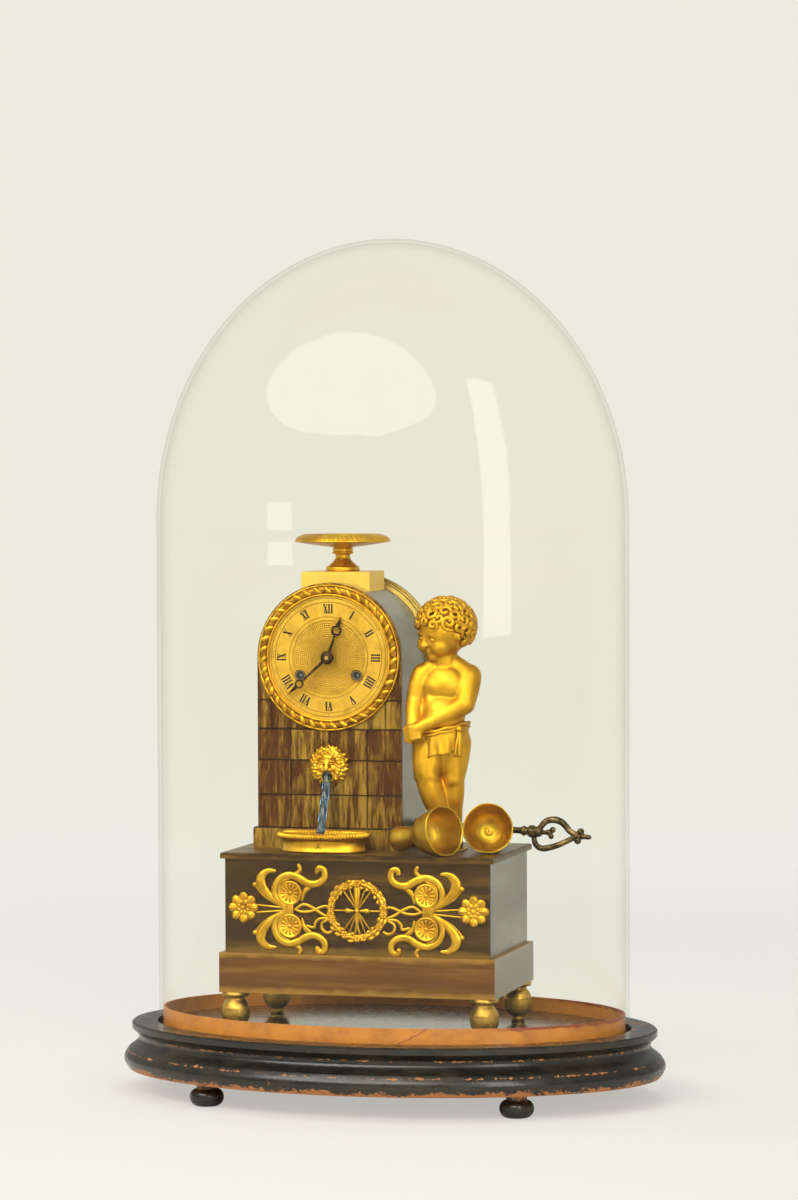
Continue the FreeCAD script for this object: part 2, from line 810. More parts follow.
def build_case():
    """Model the arched case with its skirting, bolts and finial block."""
    drop = S.arch_height
    front = plate("front_arch", arch(S.case_half_width, drop), S.front_wall,
                  [(0, drop, S.front_opening), (0, S.mask_rise - S.mouth_drop, S.mask_radius * 0.42)])
    place(front, case_x, case_front + S.front_wall, slab_top, FACING)
    node(cut("front_scored", front, ashlar_cuts()), "tower_front")

    outer = plate("wrap_outer", arch(S.case_half_width, drop), S.case_depth - S.front_wall - S.case_wall)
    inner = plate("wrap_inner", arch(S.case_half_width - S.case_wall, drop), S.case_depth)
    base = block("wrap_floor", S.case_half_width * 2, S.case_depth * 2, S.case_wall,
                 case_x - S.case_half_width, case_front - S.case_depth / 2, slab_top - S.case_wall)
    wrap_back = case_back - S.case_wall
    place(outer, case_x, wrap_back, slab_top, FACING)
    place(inner, case_x, wrap_back + S.front_wall, slab_top, FACING)
    lugs = [corner_lug(index, x, y) for index, (x, y) in enumerate(bolt_places())]
    wrap = fuse("wrap_joined", [cut("wrap_shell", outer, [inner, base])] + lugs)
    node(cut("wrap_drilled", wrap, [key_drill("wrap_drill")]), "tower_wrap")

    back = plate("back_arch", arch(S.case_half_width, drop), S.case_wall, [(0, drop, S.front_opening)])
    node(place(back, case_x, case_back, slab_top, FACING), "tower_back")

    out = S.case_half_width + S.skirting_wall
    skirt = plate("skirt_outer", oblong(out * 2, S.case_depth + S.skirting_wall), S.skirting_height)
    place(skirt, case_x, case_front + (S.case_depth - S.skirting_wall) / 2, slab_top)
    lip = skirt.newObject("PartDesign::Chamfer", "skirt_lip")
    doc.recompute()
    pad = doc.getObject("skirt_outer_pad")
    rims = [index + 1 for index, edge in enumerate(pad.Shape.Edges)
            if edge.BoundBox.ZLength < 1e-6 and abs(edge.BoundBox.ZMin - float(S.skirting_height)) < 1e-6
            and edge.BoundBox.YMax < float(S.case_depth) / 2]
    lip.Base = (pad, ["Edge%d" % index for index in rims])
    bind(lip, Size=S.skirting_wall * 0.45)
    skirt.Tip = lip
    space = block("skirt_space", S.case_half_width * 2, S.case_depth * 2, S.skirting_height * 3,
                  case_x - S.case_half_width, case_front, slab_top - S.skirting_height)
    node(cut("skirt_ring", skirt, [space, key_drill("skirt_drill")]), "tower_skirting")

    bolts = []
    for index, (x, y) in enumerate(bolt_places()):
        head, shank = S.bolt_radius * 2, S.bolt_radius
        length = S.slab_wall + S.nut_height + S.bolt_inset
        bolt = turned("bolt_%d" % index, [
            (0, 0), (head, 0), (head, S.nut_height), (shank, S.nut_height), (shank, length), (0, length)])
        bolts.append(place(bolt, S.clock_x + x, S.clock_y + y, slab_base - S.nut_height))
    node(group("bolt_group", bolts), "case_bolts")

    block_z = arch_z + S.case_half_width - S.block_drop + S.block_rise
    solid = block("block_body", S.block_width, S.block_depth, S.block_drop,
                  case_x - S.block_width / 2, case_front + S.block_front, block_z)
    saddle = rod("block_saddle", S.case_half_width, S.case_depth * 2, case_x, case_back + S.case_depth / 2,
                 arch_z, FACING)
    stud = rod("block_drill", S.stud_radius + S.hole_clearance, S.block_drop * 2, case_x,
               case_front + S.block_front + S.block_depth / 2, block_z - S.block_drop / 2)
    node(cut("block_saddled", solid, [saddle, stud]), "finial_block")
    build_tazza(block_z + S.block_drop)


def key_drill(name):
    """Return the drill for the fountain's winding hole in the right side."""
    return rod(name, S.key_hole_radius, S.case_half_width, case_x + S.case_half_width * 0.7,
               S.clock_y + S.key_y,
               slab_top + S.key_rise, Rotation(Vector(0, 1, 0), 90))


def corner_lug(index, x, y):
    """Model one small lug inside the case's corner, bored for its bolt."""
    side = 1 if index > 1 else -1
    wall = S.clock_x + S.case_x + (S.case_half_width - S.case_wall) * side
    low = wall if side < 0 else wall - S.bolt_inset * 1.6
    body = block("lug_%d" % index, S.bolt_inset * 1.6, S.bolt_inset, S.bolt_inset,
                 low, S.clock_y + y - S.bolt_inset / 2, slab_top)
    drill = rod("lug_drill_%d" % index, S.bolt_radius + S.hole_clearance, S.bolt_inset * 3,
                S.clock_x + x, S.clock_y + y, slab_top - S.bolt_inset)
    return cut("lug_bored_%d" % index, body, [drill])


COURSE_SHARES = ((0.0, 4), (1.0, 4), (2.04, 3), (2.98, 2))
JOINT_SHARES = {4: (-0.53, 0.53), 3: (-0.53, 0.0, 0.53), 2: (-0.79, 0.79)}


def ashlar_cuts():
    """Return the thin cuts that draw the stone joints on the front."""
    cuts = []
    face = case_front - S.joint_depth
    low = slab_top + S.skirting_height
    for index, (share, kind) in enumerate(COURSE_SHARES):
        base = low + S.course_height * share
        top = S.course_height * 0.96
        cuts.append(block("course_%d" % index, S.case_half_width * 2.2, S.joint_depth * 2, S.joint_width,
                          case_x - S.case_half_width * 1.1, face, base + top))
        for order, across in enumerate(JOINT_SHARES[kind]):
            x = case_x + S.case_half_width * across
            cuts.append(block("joint_%d_%d" % (index, order), S.joint_width, S.joint_depth * 2, top, x,
                              face, base))
    return cuts


def build_tazza(base):
    """Model the shallow dish on its turned stem, with a stud into the block."""
    radius, height, lip = S.tazza_radius, S.tazza_height, S.tazza_lip
    stem = S.pipe_radius
    dish = turned("tazza_turned", [
        (0, height * 0.62), (radius * 0.5, height * 0.7, -0.06), (lip * 0.95, height * 0.94),
        (lip, height * 0.96),
        (radius, height * 0.78, 0.9), (radius * 0.985, height * 0.74, 0.08), (stem * 2.5, height * 0.58),
        (stem * 2.0, height * 0.52), (stem * 2.0, height * 0.48, 0.9), (stem * 2.0, height * 0.42),
        (stem * 1.9, height * 0.38, -0.12), (stem * 2.1, height * 0.2, -0.3), (stem * 4.6, height * 0.06,
                                                                               0.3),
        (stem * 4.6, 0), (S.stud_radius, 0), (S.stud_radius, -S.block_drop * 0.4), (0, -S.block_drop * 0.4)])
    node(place(dish, case_x, case_front + S.block_front + S.block_depth / 2, base), "tazza")


# Rear ring and door

def build_rear():
    """Model the moulded ring at the back of the case, and the push-fit cover that closes it."""
    depth, bore, outer = S.ring_depth, S.ring_bore, S.ring_radius
    ring = turned("ring_turned", [
        (S.ring_lip, 0), (S.case_half_width * 0.99, 0), (outer * 0.96, -depth * 0.08),
        (outer * 0.96, -depth * 0.36, 0.8), (outer * 0.98, -depth * 0.6, -0.8),
        (outer, -depth * 0.8), (outer, -depth), (bore, -depth), (bore, -depth * 0.14),
        (S.ring_lip, -depth * 0.14)])
    node(place(ring, case_x, case_back, arch_z, FACING), "rear_ring")

    rear = case_back + depth
    wall, spigot = S.cover_wall, bore - S.hole_clearance
    cover = turned("cover_turned", [
        (S.pivot_radius + S.hole_clearance, 0), (spigot - wall, 0), (spigot - wall, wall * 2.5),
        (spigot, wall * 2.5),
        (spigot, 0), (S.cover_radius, 0), (S.cover_radius, -wall * 0.6, 0.3),
        (S.cover_radius * 0.94, -wall, 0.1),
        (spigot * 0.3, -wall * 1.8), (S.pivot_radius + S.hole_clearance, -wall * 1.8)])
    node(place(cover, case_x, rear, arch_z, FACING), "back_cover")
    knob, stem = S.knob_radius, S.pivot_radius
    grip = turned("knob_turned", [
        (0, wall * 1.4), (stem * 2, wall * 1.4), (stem * 2, 0), (stem, 0), (stem, -wall * 1.8),
        (knob * 0.6, -wall * 1.8), (knob * 0.5, -wall * 1.8 - knob * 0.8, -0.2),
        (knob, -wall * 1.8 - knob * 1.4, 0.5), (knob * 0.5, -wall * 1.8 - knob * 2.4),
        (0, -wall * 1.8 - knob * 2.4)])
    node(place(grip, case_x, rear, arch_z, FACING), "cover_knob")


# Dial, bezel and hands

def build_dial():
    """Model the bezel, the dial, the case straps and the two hands."""
    radius, opening, depth = S.bezel_radius, S.bezel_opening, S.bezel_depth
    seat = S.dial_radius + S.seat_gap
    step = S.dial_wall * 1.4
    bezel = turned("bezel_turned", [
        (seat, 0), (radius, 0), (radius, depth * 0.3, 0.75), (opening + S.dial_wall * 1.4, depth * 0.62),
        (opening + S.dial_wall, depth * 0.45), (opening, depth * 0.4), (opening, step), (seat, step)])
    node(place(bezel, case_x, case_front, arch_z, FACING), "bezel")

    hole = S.winding_hole + S.dial_wall * 0.4
    dial = plate("dial_disc", None, S.dial_wall, [
        (0, 0, S.dial_radius), (0, 0, S.hour_pipe_radius + S.seat_gap), (-S.arbor_x, -S.arbor_drop, hole),
        (S.arbor_x, -S.arbor_drop, hole)])
    dial_back = case_front - S.dial_wall * 0.3
    place(dial, case_x, dial_back, arch_z, FACING)
    feet = []
    for index, turn in enumerate((90, 210, 330)):
        reach = S.dial_radius * 0.84
        feet.append(rod("dial_foot_%d" % index, S.centre_arbor_radius, plate_front - dial_back,
                        case_x + reach * math.cos(math.radians(turn)), plate_front,
                        arch_z + reach * math.sin(math.radians(turn)), FACING))
    rims = []
    for index, side in enumerate((-1, 1)):
        rim = plate("winding_rim_%d" % index, None, S.dial_wall * 1.4,
                    [(0, 0, hole), (0, 0, S.winding_hole)])
        rims.append(place(rim, case_x + S.arbor_x * side, dial_back, arch_z - S.arbor_drop, FACING))
    node(fuse("dial_joined", [dial] + feet + rims), "dial_plate")

    straps = [block("strap_%d" % index, S.strap_wall, S.case_depth, S.strap_width,
                    case_x + (S.ring_lip + S.seat_gap) * side - S.strap_wall / 2,
                    case_front, arch_z - S.strap_width / 2)
              for index, side in enumerate((-1, 1))]
    node(group("strap_pair", straps), "case_straps")

    hand_gap = S.hand_wall
    hour_y = dial_back - S.dial_wall - hand_gap * 3
    minute_y = hour_y - hand_gap * 2.2
    build_hand("hour_hand", S.hour_hand_length, S.hour_pipe_radius, S.pipe_radius + S.hole_clearance,
               0.42, 4.6, 18.9, hour_y)
    build_hand("minute_hand", S.minute_hand_length, S.hour_pipe_radius * 0.9,
               S.centre_arbor_radius + S.hole_clearance,
               0.30, 3.0, 227.8, minute_y)
    collet = turned("collet_turned", [
        (S.centre_arbor_radius + S.hole_clearance, 0), (S.hour_pipe_radius * 1.35, 0, 0.2),
        (S.hour_pipe_radius * 1.1, hand_gap * 2), (S.centre_arbor_radius + S.hole_clearance,
                                                   hand_gap * 2.4)])
    node(place(collet, case_x, minute_y - hand_gap, arch_z, FACING), "hand_collet")


def build_hand(label, length, hub, bore, bar_share, ring_size, turn, y):
    """Model one blued hand with the pierced round near its tip.

    The bar tapers from the hub, the round stands near the tip, and the turn is clockwise from twelve.
    """
    reach, width = float(length), float(S.hand_wall) * 2
    ring_radius = reach * ring_size / 37
    ring_y = reach * 0.78 - ring_radius
    bar = wire_face([(-width, 0), (width, 0), (width * bar_share, ring_y), (-width * bar_share, ring_y)])
    tip = wire_face([(-ring_radius * 0.5, ring_y + ring_radius * 0.7),
                     (ring_radius * 0.5, ring_y + ring_radius * 0.7),
                     (0, reach)])
    round_eye = disc(0, ring_y, ring_radius)
    eye = disc(0, ring_y, ring_radius * 0.62)
    flat = disc(0, 0, float(hub) * 1.25).multiFuse([bar, tip, round_eye]).removeSplitter().cut(eye)
    flat = flat.cut(disc(0, 0, float(bore)))
    shape = flat.extrude(Vector(0, 0, float(S.hand_wall)))
    lean = FACING.multiply(Rotation(Vector(0, 0, 1), -turn))
    node(free(label + "_flat", shape, case_x, y, arch_z, lean), label)


# Going train

def gear_face(teeth, module, tip_share=0.2, depth_share=0.78):
    """Return a toothed disc with straight flanks and room to run."""
    pitch = teeth * module / 2
    tip, root = pitch + module * depth_share, pitch - module * 1.05
    step = 2 * math.pi / teeth
    points = []
    for tooth in range(teeth):
        middle = tooth * step
        for radius, share in ((root, -0.30), (tip, -tip_share / 2), (tip, tip_share / 2), (root, 0.30)):
            angle = middle + share * step
            points.append((radius * math.cos(angle), radius * math.sin(angle)))
    return wire_face(points)


def train_places():
    """Return the arbors' places from the dial's centre, worked out from the tooth counts."""
    barrel = Vector(float(S.arbor_x), -float(S.arbor_drop), 0)
    barrel_reach = (BARREL_TEETH + PINION_LEAVES) * float(S.barrel_module) / 2
    centre_reach = (MIDDLE_TEETH + PINION_LEAVES) * float(S.train_module) / 2
    span = barrel.Length
    along = (centre_reach ** 2 - barrel_reach ** 2 + span ** 2) / (2 * span)
    off = math.sqrt(centre_reach ** 2 - along ** 2)
    unit = barrel * (1 / span)
    middle = unit * along + Vector(-unit.y, unit.x, 0) * off
    third_reach = (CENTRE_TEETH + THIRD_LEAVES) * float(S.train_module) / 2
    third = Vector(math.cos(math.radians(110)), math.sin(math.radians(110)), 0) * third_reach
    escape_reach = (THIRD_TEETH + THIRD_LEAVES) * float(S.escape_module) / 2
    escape = Vector(0, third.y + math.sqrt(escape_reach ** 2 - third.x ** 2), 0)
    pallet = escape + Vector(0, float(S.escape_drop), 0)
    return barrel, middle, third, escape, pallet


BARREL_TEETH = 80
PINION_LEAVES = 10
MIDDLE_TEETH = 70
CENTRE_TEETH = 64
THIRD_LEAVES = 8
THIRD_TEETH = 60
ESCAPE_TEETH = 30
CANNON_LEAVES = 14
MINUTE_TEETH = 42
MINUTE_LEAVES = 12
HOUR_TEETH = 48
FOUNTAIN_TEETH = 72
FOUNTAIN_LEAVES = 16


def mesh_turn(driver, follower, driver_turn, driver_teeth, teeth):
    """Return the angle that puts a follower's gap over the driver's tooth."""
    line = math.atan2(follower.y - driver.y, follower.x - driver.x)
    phase = (line - driver_turn) * driver_teeth
    return line + math.pi + (phase + math.pi) / teeth


def slab_of(face, turn, low, high):
    """Return a gear face turned and given its thickness between two depths."""
    solid = face.extrude(Vector(0, 0, high - low))
    solid.rotate(Vector(0, 0, 0), Vector(0, 0, 1), math.degrees(turn))
    solid.translate(Vector(0, 0, low))
    return solid


def shaft(radius, low, high):
    """Return a round arbor between two depths."""
    return Part.makeCylinder(radius, high - low, Vector(0, 0, low))


def pierced(shapes, radius, low, high):
    """Join shapes and bore them through."""
    return join(shapes).cut(Part.makeCylinder(radius, high - low, Vector(0, 0, low)))


def add_wheel(label, shape, spot):
    """Put a wheel at its place, with its depths measured back from the dial."""
    turn = Rotation(Vector(1, 0, 0), 90)
    feature = free(label + "_wheel", shape.mirror(Vector(0, 0, 0), Vector(0, 0, 1)))
    place(feature, case_x + spot.x, case_front, arch_z + spot.y, turn)
    return node(feature, label)


def build_movement():
    """Model the plates, the wheels and the barrels between them, with depths from the case's front."""
    front, gap = float(plate_front - case_front), float(S.plate_gap)
    wall, wheel = float(S.plate_wall), float(S.wheel_wall)
    inside = front + wall
    back = inside + gap
    pivot, slack = float(S.pivot_radius), float(S.hole_clearance)
    arbor = float(S.centre_arbor_radius)
    barrel, middle, third, escape, pallet = train_places()
    strike = Vector(-barrel.x, barrel.y, 0)
    motion = Vector(0, -(CANNON_LEAVES + MINUTE_TEETH) * float(S.train_module) / 2, 0)

    # Where each wheel lies between the plates
    middle_low = inside + wheel * 0.5
    great_low = middle_low + wheel * 2.2
    drum_low = great_low + wheel
    drum_high = drum_low + float(S.barrel_length)
    escape_low = drum_low + float(S.barrel_length) * 0.72
    third_low = drum_high - wheel * 1.6
    centre_low = drum_high + wheel * 1.4
    middle_turn = mesh_turn(barrel, middle, 0, BARREL_TEETH, PINION_LEAVES)
    centre_turn = mesh_turn(middle, Vector(0, 0, 0), middle_turn, MIDDLE_TEETH, PINION_LEAVES)
    third_turn = mesh_turn(Vector(0, 0, 0), third, centre_turn, CENTRE_TEETH, THIRD_LEAVES)
    escape_turn = mesh_turn(third, escape, third_turn, THIRD_TEETH, THIRD_LEAVES)

    build_plates(inside, back, wall, [(middle, pivot), (third, pivot), (escape, pivot), (pallet, pivot)],
                 [(barrel, float(S.arbor_radius)), (strike, float(S.arbor_radius))], motion, pivot)

    great = gear_face(BARREL_TEETH, float(S.barrel_module))
    bore = float(S.arbor_radius) + slack
    for label, spot, arbor_label in (("going_barrel", barrel, "going_arbor"), ("strike_barrel", strike,
                                                                               "strike_arbor")):
        drum = [slab_of(great, 0, great_low, drum_low),
                Part.makeCylinder(float(S.barrel_radius), drum_high - drum_low, Vector(0, 0, drum_low))]
        add_wheel(label, pierced(drum, bore, great_low, drum_high), spot)
        square = float(S.arbor_radius) * 1.34
        tail = back + wall + float(S.nut_height)
        key_square = Part.makeBox(square, square, float(S.dial_gap) * 0.9, Vector(-square / 2, -square / 2,
                                                                                  0))
        ratchet = slab_of(gear_face(24, float(S.train_module)), 0, drum_high + wheel * 0.4,
                          drum_high + wheel * 1.3)
        arbor_shape = join([shaft(float(S.arbor_radius), front - slack, tail), ratchet,
                            key_square.translated(Vector(0, 0, front - slack - float(S.dial_gap) * 0.9))])
        add_wheel(arbor_label, arbor_shape, spot)

    add_wheel("intermediate_wheel", join([
        shaft(pivot, front + slack, back + wall - slack), shaft(pivot * 1.5, inside + slack, back - slack),
        slab_of(gear_face(MIDDLE_TEETH, float(S.train_module)), middle_turn, middle_low, middle_low + wheel),
        slab_of(gear_face(PINION_LEAVES, float(S.barrel_module)), middle_turn, middle_low + wheel,
                drum_low + slack)]),
        middle)

    cannon_top = -float(S.dial_wall) * 1.3 - float(S.hand_wall) * 5.2
    cannon_turn = math.pi / 2
    add_wheel("centre_wheel", join([
        shaft(arbor, cannon_top - float(S.hand_wall) * 3, front), shaft(arbor * 1.2, front, back + wall),
        shaft(float(S.pipe_radius), cannon_top + float(S.hand_wall), front - slack),
        slab_of(gear_face(CANNON_LEAVES, float(S.train_module)), cannon_turn, front - wheel * 1.6,
                front - slack * 2),
        slab_of(gear_face(CENTRE_TEETH, float(S.train_module)), centre_turn, centre_low, centre_low + wheel),
        slab_of(gear_face(PINION_LEAVES, float(S.train_module)), centre_turn, inside + slack,
                middle_low + wheel * 1.5),
        shaft(arbor * 1.25, inside + slack, back - slack)]), Vector(0, 0, 0))

    minute_turn = mesh_turn(Vector(0, 0, 0), motion, cannon_turn, CANNON_LEAVES, MINUTE_TEETH)
    minute_low, minute_high = front - wheel * 1.5, front - slack * 4
    hour_low = front - wheel * 3.1
    add_wheel("minute_wheel", join([
        slab_of(gear_face(MINUTE_TEETH, float(S.train_module)), minute_turn, minute_low, minute_high),
        slab_of(gear_face(MINUTE_LEAVES, hour_module()), minute_turn, hour_low - slack, minute_low),
        shaft(pivot, minute_high, front + wall * 0.8)]), motion)
    hour_turn = mesh_turn(motion, Vector(0, 0, 0), minute_turn, MINUTE_LEAVES, HOUR_TEETH)
    pipe_top = -float(S.dial_wall) * 1.3 - float(S.hand_wall) * 3
    add_wheel("hour_wheel", pierced([
        slab_of(gear_face(HOUR_TEETH, hour_module()), hour_turn, hour_low, hour_low + wheel),
        shaft(float(S.hour_pipe_radius), pipe_top, hour_low + wheel)],
        float(S.pipe_radius) + slack, pipe_top, hour_low + wheel * 2), Vector(0, 0, 0))

    add_wheel("third_wheel", join([
        shaft(pivot, front + slack, back + wall - slack),
        slab_of(gear_face(THIRD_TEETH, float(S.escape_module)), third_turn, third_low, third_low + wheel),
        slab_of(gear_face(THIRD_LEAVES, float(S.train_module)), third_turn, third_low + wheel,
                centre_low + wheel * 1.5)]),
        third)
    scape = float(S.escape_drop) * 0.62
    add_wheel("escape_wheel", join([
        shaft(pivot, front + slack, back + wall - slack), shaft(scape * 0.86, escape_low,
                                                                escape_low + wheel * 0.7),
        slab_of(escape_face(scape), 0, escape_low, escape_low + wheel * 0.7),
        slab_of(gear_face(THIRD_LEAVES, float(S.escape_module)), escape_turn, third_low - wheel * 0.5,
                third_low + wheel * 1.5)]), escape)
    build_pallets(pallet, scape, escape_low, wheel, front, back + wall)
    return pallet, back + wall


def hour_module():
    """Return the module that brings the second motion pair to the same centre distance."""
    return (CANNON_LEAVES + MINUTE_TEETH) * float(S.train_module) / (MINUTE_LEAVES + HOUR_TEETH)


def escape_face(radius):
    """Return the pointed escape teeth as one face."""
    points = []
    step = 2 * math.pi / ESCAPE_TEETH
    for tooth in range(ESCAPE_TEETH):
        for reach, share in ((0.84, 0.0), (1.0, 0.2), (1.0, 0.26), (0.84, 0.44)):
            angle = (tooth + share) * step
            points.append((radius * reach * math.cos(angle), radius * reach * math.sin(angle)))
    return wire_face(points)


def build_pallets(spot, scape, low, wheel, front, tail):
    """Model the pallet anchor on its arbor, with the crutch behind the back plate."""
    reach = float(S.escape_drop)
    clear = float(S.seat_gap)
    pivot, slack = float(S.pivot_radius), float(S.hole_clearance)
    nib = scape * 0.7
    drop = reach - math.sqrt((scape + clear) ** 2 - nib ** 2)
    arms = []
    for side in (-1, 1):
        arm = wire_face([(0, pivot), (side * (nib + pivot), -drop * 0.55), (side * nib, -drop - pivot * 0.2),
                         (side * (nib - pivot), -drop * 0.6), (0, -pivot)])
        arms.append(arm)
    face = arms[0].multiFuse([arms[1], disc(0, 0, pivot * 2)]).removeSplitter()
    anchor = face.extrude(Vector(0, 0, wheel))
    anchor.translate(Vector(0, 0, low - wheel * 0.1))
    crutch_low = tail + slack * 4
    crutch_length = float(S.pendulum_length) * 0.26
    crutch = Part.makeBox(pivot * 2, crutch_length, wheel * 0.7, Vector(-pivot, -crutch_length, crutch_low))
    fork = Part.makeBox(pivot * 5, pivot * 2, wheel * 0.7, Vector(-pivot * 2.5, -crutch_length, crutch_low))
    prongs = [Part.makeBox(pivot, pivot * 2, wheel * 2.4, Vector(x, -crutch_length, crutch_low))
              for x in (-pivot * 2.5, pivot * 1.5)]
    add_wheel("pallet_anchor", join([anchor, shaft(pivot, front + slack, crutch_low + wheel * 0.7), crutch,
                                     fork]
                                    + prongs), spot)


def build_plates(inside, back, wall, pivots, arbors, motion, pivot):
    """Model the front plate, and the back plate with its riveted pillars and posts."""
    slack = float(S.hole_clearance)
    radius = float(S.plate_radius)
    pillars = [Vector(math.cos(math.radians(turn)), math.sin(math.radians(turn)), 0) * float(S.pillar_circle)
               for turn in (35, 145, 250, 290)]
    for label, low in (("front_movement_plate", inside - wall), ("back_movement_plate", back)):
        holes = [(spot, size + slack) for spot, size in pivots + arbors]
        holes.append((Vector(0, 0, 0), float(S.centre_arbor_radius) * 1.2 + slack))
        if low > inside:
            holes.append((hammer_spot(), pivot + slack))
        else:
            holes.append((motion, pivot + slack))
            holes += [(spot, float(S.pillar_radius) * 0.6 + slack) for spot in pillars]
            holes += [(Vector(math.cos(math.radians(turn)), math.sin(math.radians(turn)), 0)
                       * float(S.dial_radius * 0.84),
                       float(S.centre_arbor_radius) + slack) for turn in (90, 210, 330)]
        shape = Part.makeCylinder(radius, wall, Vector(0, 0, low))
        for spot, size in holes:
            shape = shape.cut(Part.makeCylinder(size, wall * 3, spot + Vector(0, 0, low - wall)))
        if low > inside:
            posts = []
            for spot in pillars:
                posts.append(Part.makeCylinder(float(S.pillar_radius), back - inside,
                                               spot + Vector(0, 0, inside)))
                posts.append(Part.makeCylinder(float(S.pillar_radius) * 0.6, wall * 1.5,
                                               spot + Vector(0, 0, inside - wall * 1.5)))
            shape = join([shape] + posts)
        add_wheel(label, shape, Vector(0, 0, 0))


def build_pendulum(spot, tail):
    """Model the suspension cock, the pendulum, the bell and the hammer behind the back plate."""
    pivot, slack, wheel = float(S.pivot_radius), float(S.hole_clearance), float(S.wheel_wall)
    rod_depth = tail + wheel * 2.2
    length, bob = float(S.pendulum_length), float(S.bob_radius)
    foot = wheel * 5
    cock = [Part.makeBox(foot, foot * 0.7, wheel, Vector(-foot / 2, pivot * 2.5, tail)),
            Part.makeBox(foot * 0.5, wheel * 1.4, rod_depth - tail + wheel * 3,
                         Vector(-foot * 0.25, pivot * 2.5, tail)),
            Part.makeCylinder(pivot, wheel * 2.2, Vector(0, 0, rod_depth + wheel * 1.3))]
    bridge = Part.makeBox(foot * 0.5, pivot * 2.5 + wheel, wheel,
                          Vector(-foot * 0.25, 0, rod_depth + wheel * 2.0))
    add_wheel("suspension_cock", join(cock + [bridge]), spot)
    eye = Part.makeCylinder(pivot * 2.2, wheel, Vector(0, 0, rod_depth))
    stem = Part.makeBox(pivot * 1.6, length, wheel * 0.8, Vector(-pivot * 0.8, -length,
                                                                 rod_depth + wheel * 0.1))
    lens = egg(Vector(0, -length, rod_depth + wheel / 2), (bob, bob, float(S.bob_wall) / 2))
    nut = Part.makeCylinder(pivot * 2.4, pivot * 2, Vector(0, -length - bob - pivot, rod_depth + wheel / 2),
                            Vector(0, -1, 0))
    tail_rod = Part.makeCylinder(pivot * 0.8, bob + pivot * 4, Vector(0, -length, rod_depth + wheel / 2),
                                 Vector(0, -1, 0))
    hole = Part.makeCylinder(pivot + slack, wheel * 3, Vector(0, 0, rod_depth - wheel))
    add_wheel("pendulum", join([eye, stem, lens, nut, tail_rod]).cut(hole), spot)


def bell_spot():
    """Return the bell's middle, which stands aside of the pendulum's rod."""
    return Vector(float(S.bell_radius) * 0.28, -float(S.arbor_drop) * 0.2, 0)


def hammer_spot():
    """Return the place of the hammer's arbor."""
    return Vector(-float(S.plate_radius) * 0.7, float(S.arbor_x) * 0.62, 0)


def build_bell(tail):
    """Model the bell on its post and the hammer beside its rim."""
    radius, depth = float(S.bell_radius), float(S.bell_depth)
    pivot, slack, wheel = float(S.pivot_radius), float(S.hole_clearance), float(S.wheel_wall)
    low = float(S.case_depth) - depth * 0.9
    spot = bell_spot()
    cup = turned_shell(radius, depth, wheel * 0.8)
    cup.translate(Vector(0, 0, low))
    post = [shaft(pivot * 1.8, tail, low + depth), shaft(pivot * 3.6, low + depth - slack,
                                                         low + depth + wheel),
            shaft(pivot * 3.2, tail, tail + wheel)]
    add_wheel("bell", join([cup] + post), spot)

    pin = hammer_spot()
    size = wheel * 2
    reach = radius + size + float(S.seat_gap) * 2
    angle = math.radians(200)
    head = spot + Vector(math.cos(angle), math.sin(angle), 0) * reach - pin
    arm_low = low - wheel * 1.2
    length = head.Length
    arm = Part.makeBox(length, wheel, wheel, Vector(0, -wheel / 2, arm_low))
    arm.rotate(Vector(0, 0, 0), Vector(0, 0, 1), math.degrees(math.atan2(head.y, head.x)))
    arbor = shaft(pivot, tail - float(S.plate_wall) + slack, arm_low + wheel)
    collar = shaft(pivot * 2.2, tail + slack * 2, arm_low + wheel)
    face = Part.makeCylinder(size, wheel * 3, head + Vector(0, 0, arm_low))
    add_wheel("strike_hammer", join([arm, arbor, collar, face]), pin)


def turned_shell(radius, depth, wall):
    """Return a shallow round cup that opens to the front."""
    swell = (radius ** 2 + depth ** 2) / (2 * depth)
    outer = Part.makeSphere(swell, Vector(0, 0, depth - swell))
    inner = Part.makeSphere(swell - wall, Vector(0, 0, depth - swell))
    keep = Part.makeCylinder(radius, depth, Vector(0, 0, 0))
    return outer.cut(inner).common(keep)


# Fountain

def basin_middle():
    """Return how far forward the basin's middle lies."""
    return case_front - S.skirting_wall - S.seat_gap - S.basin_half_depth


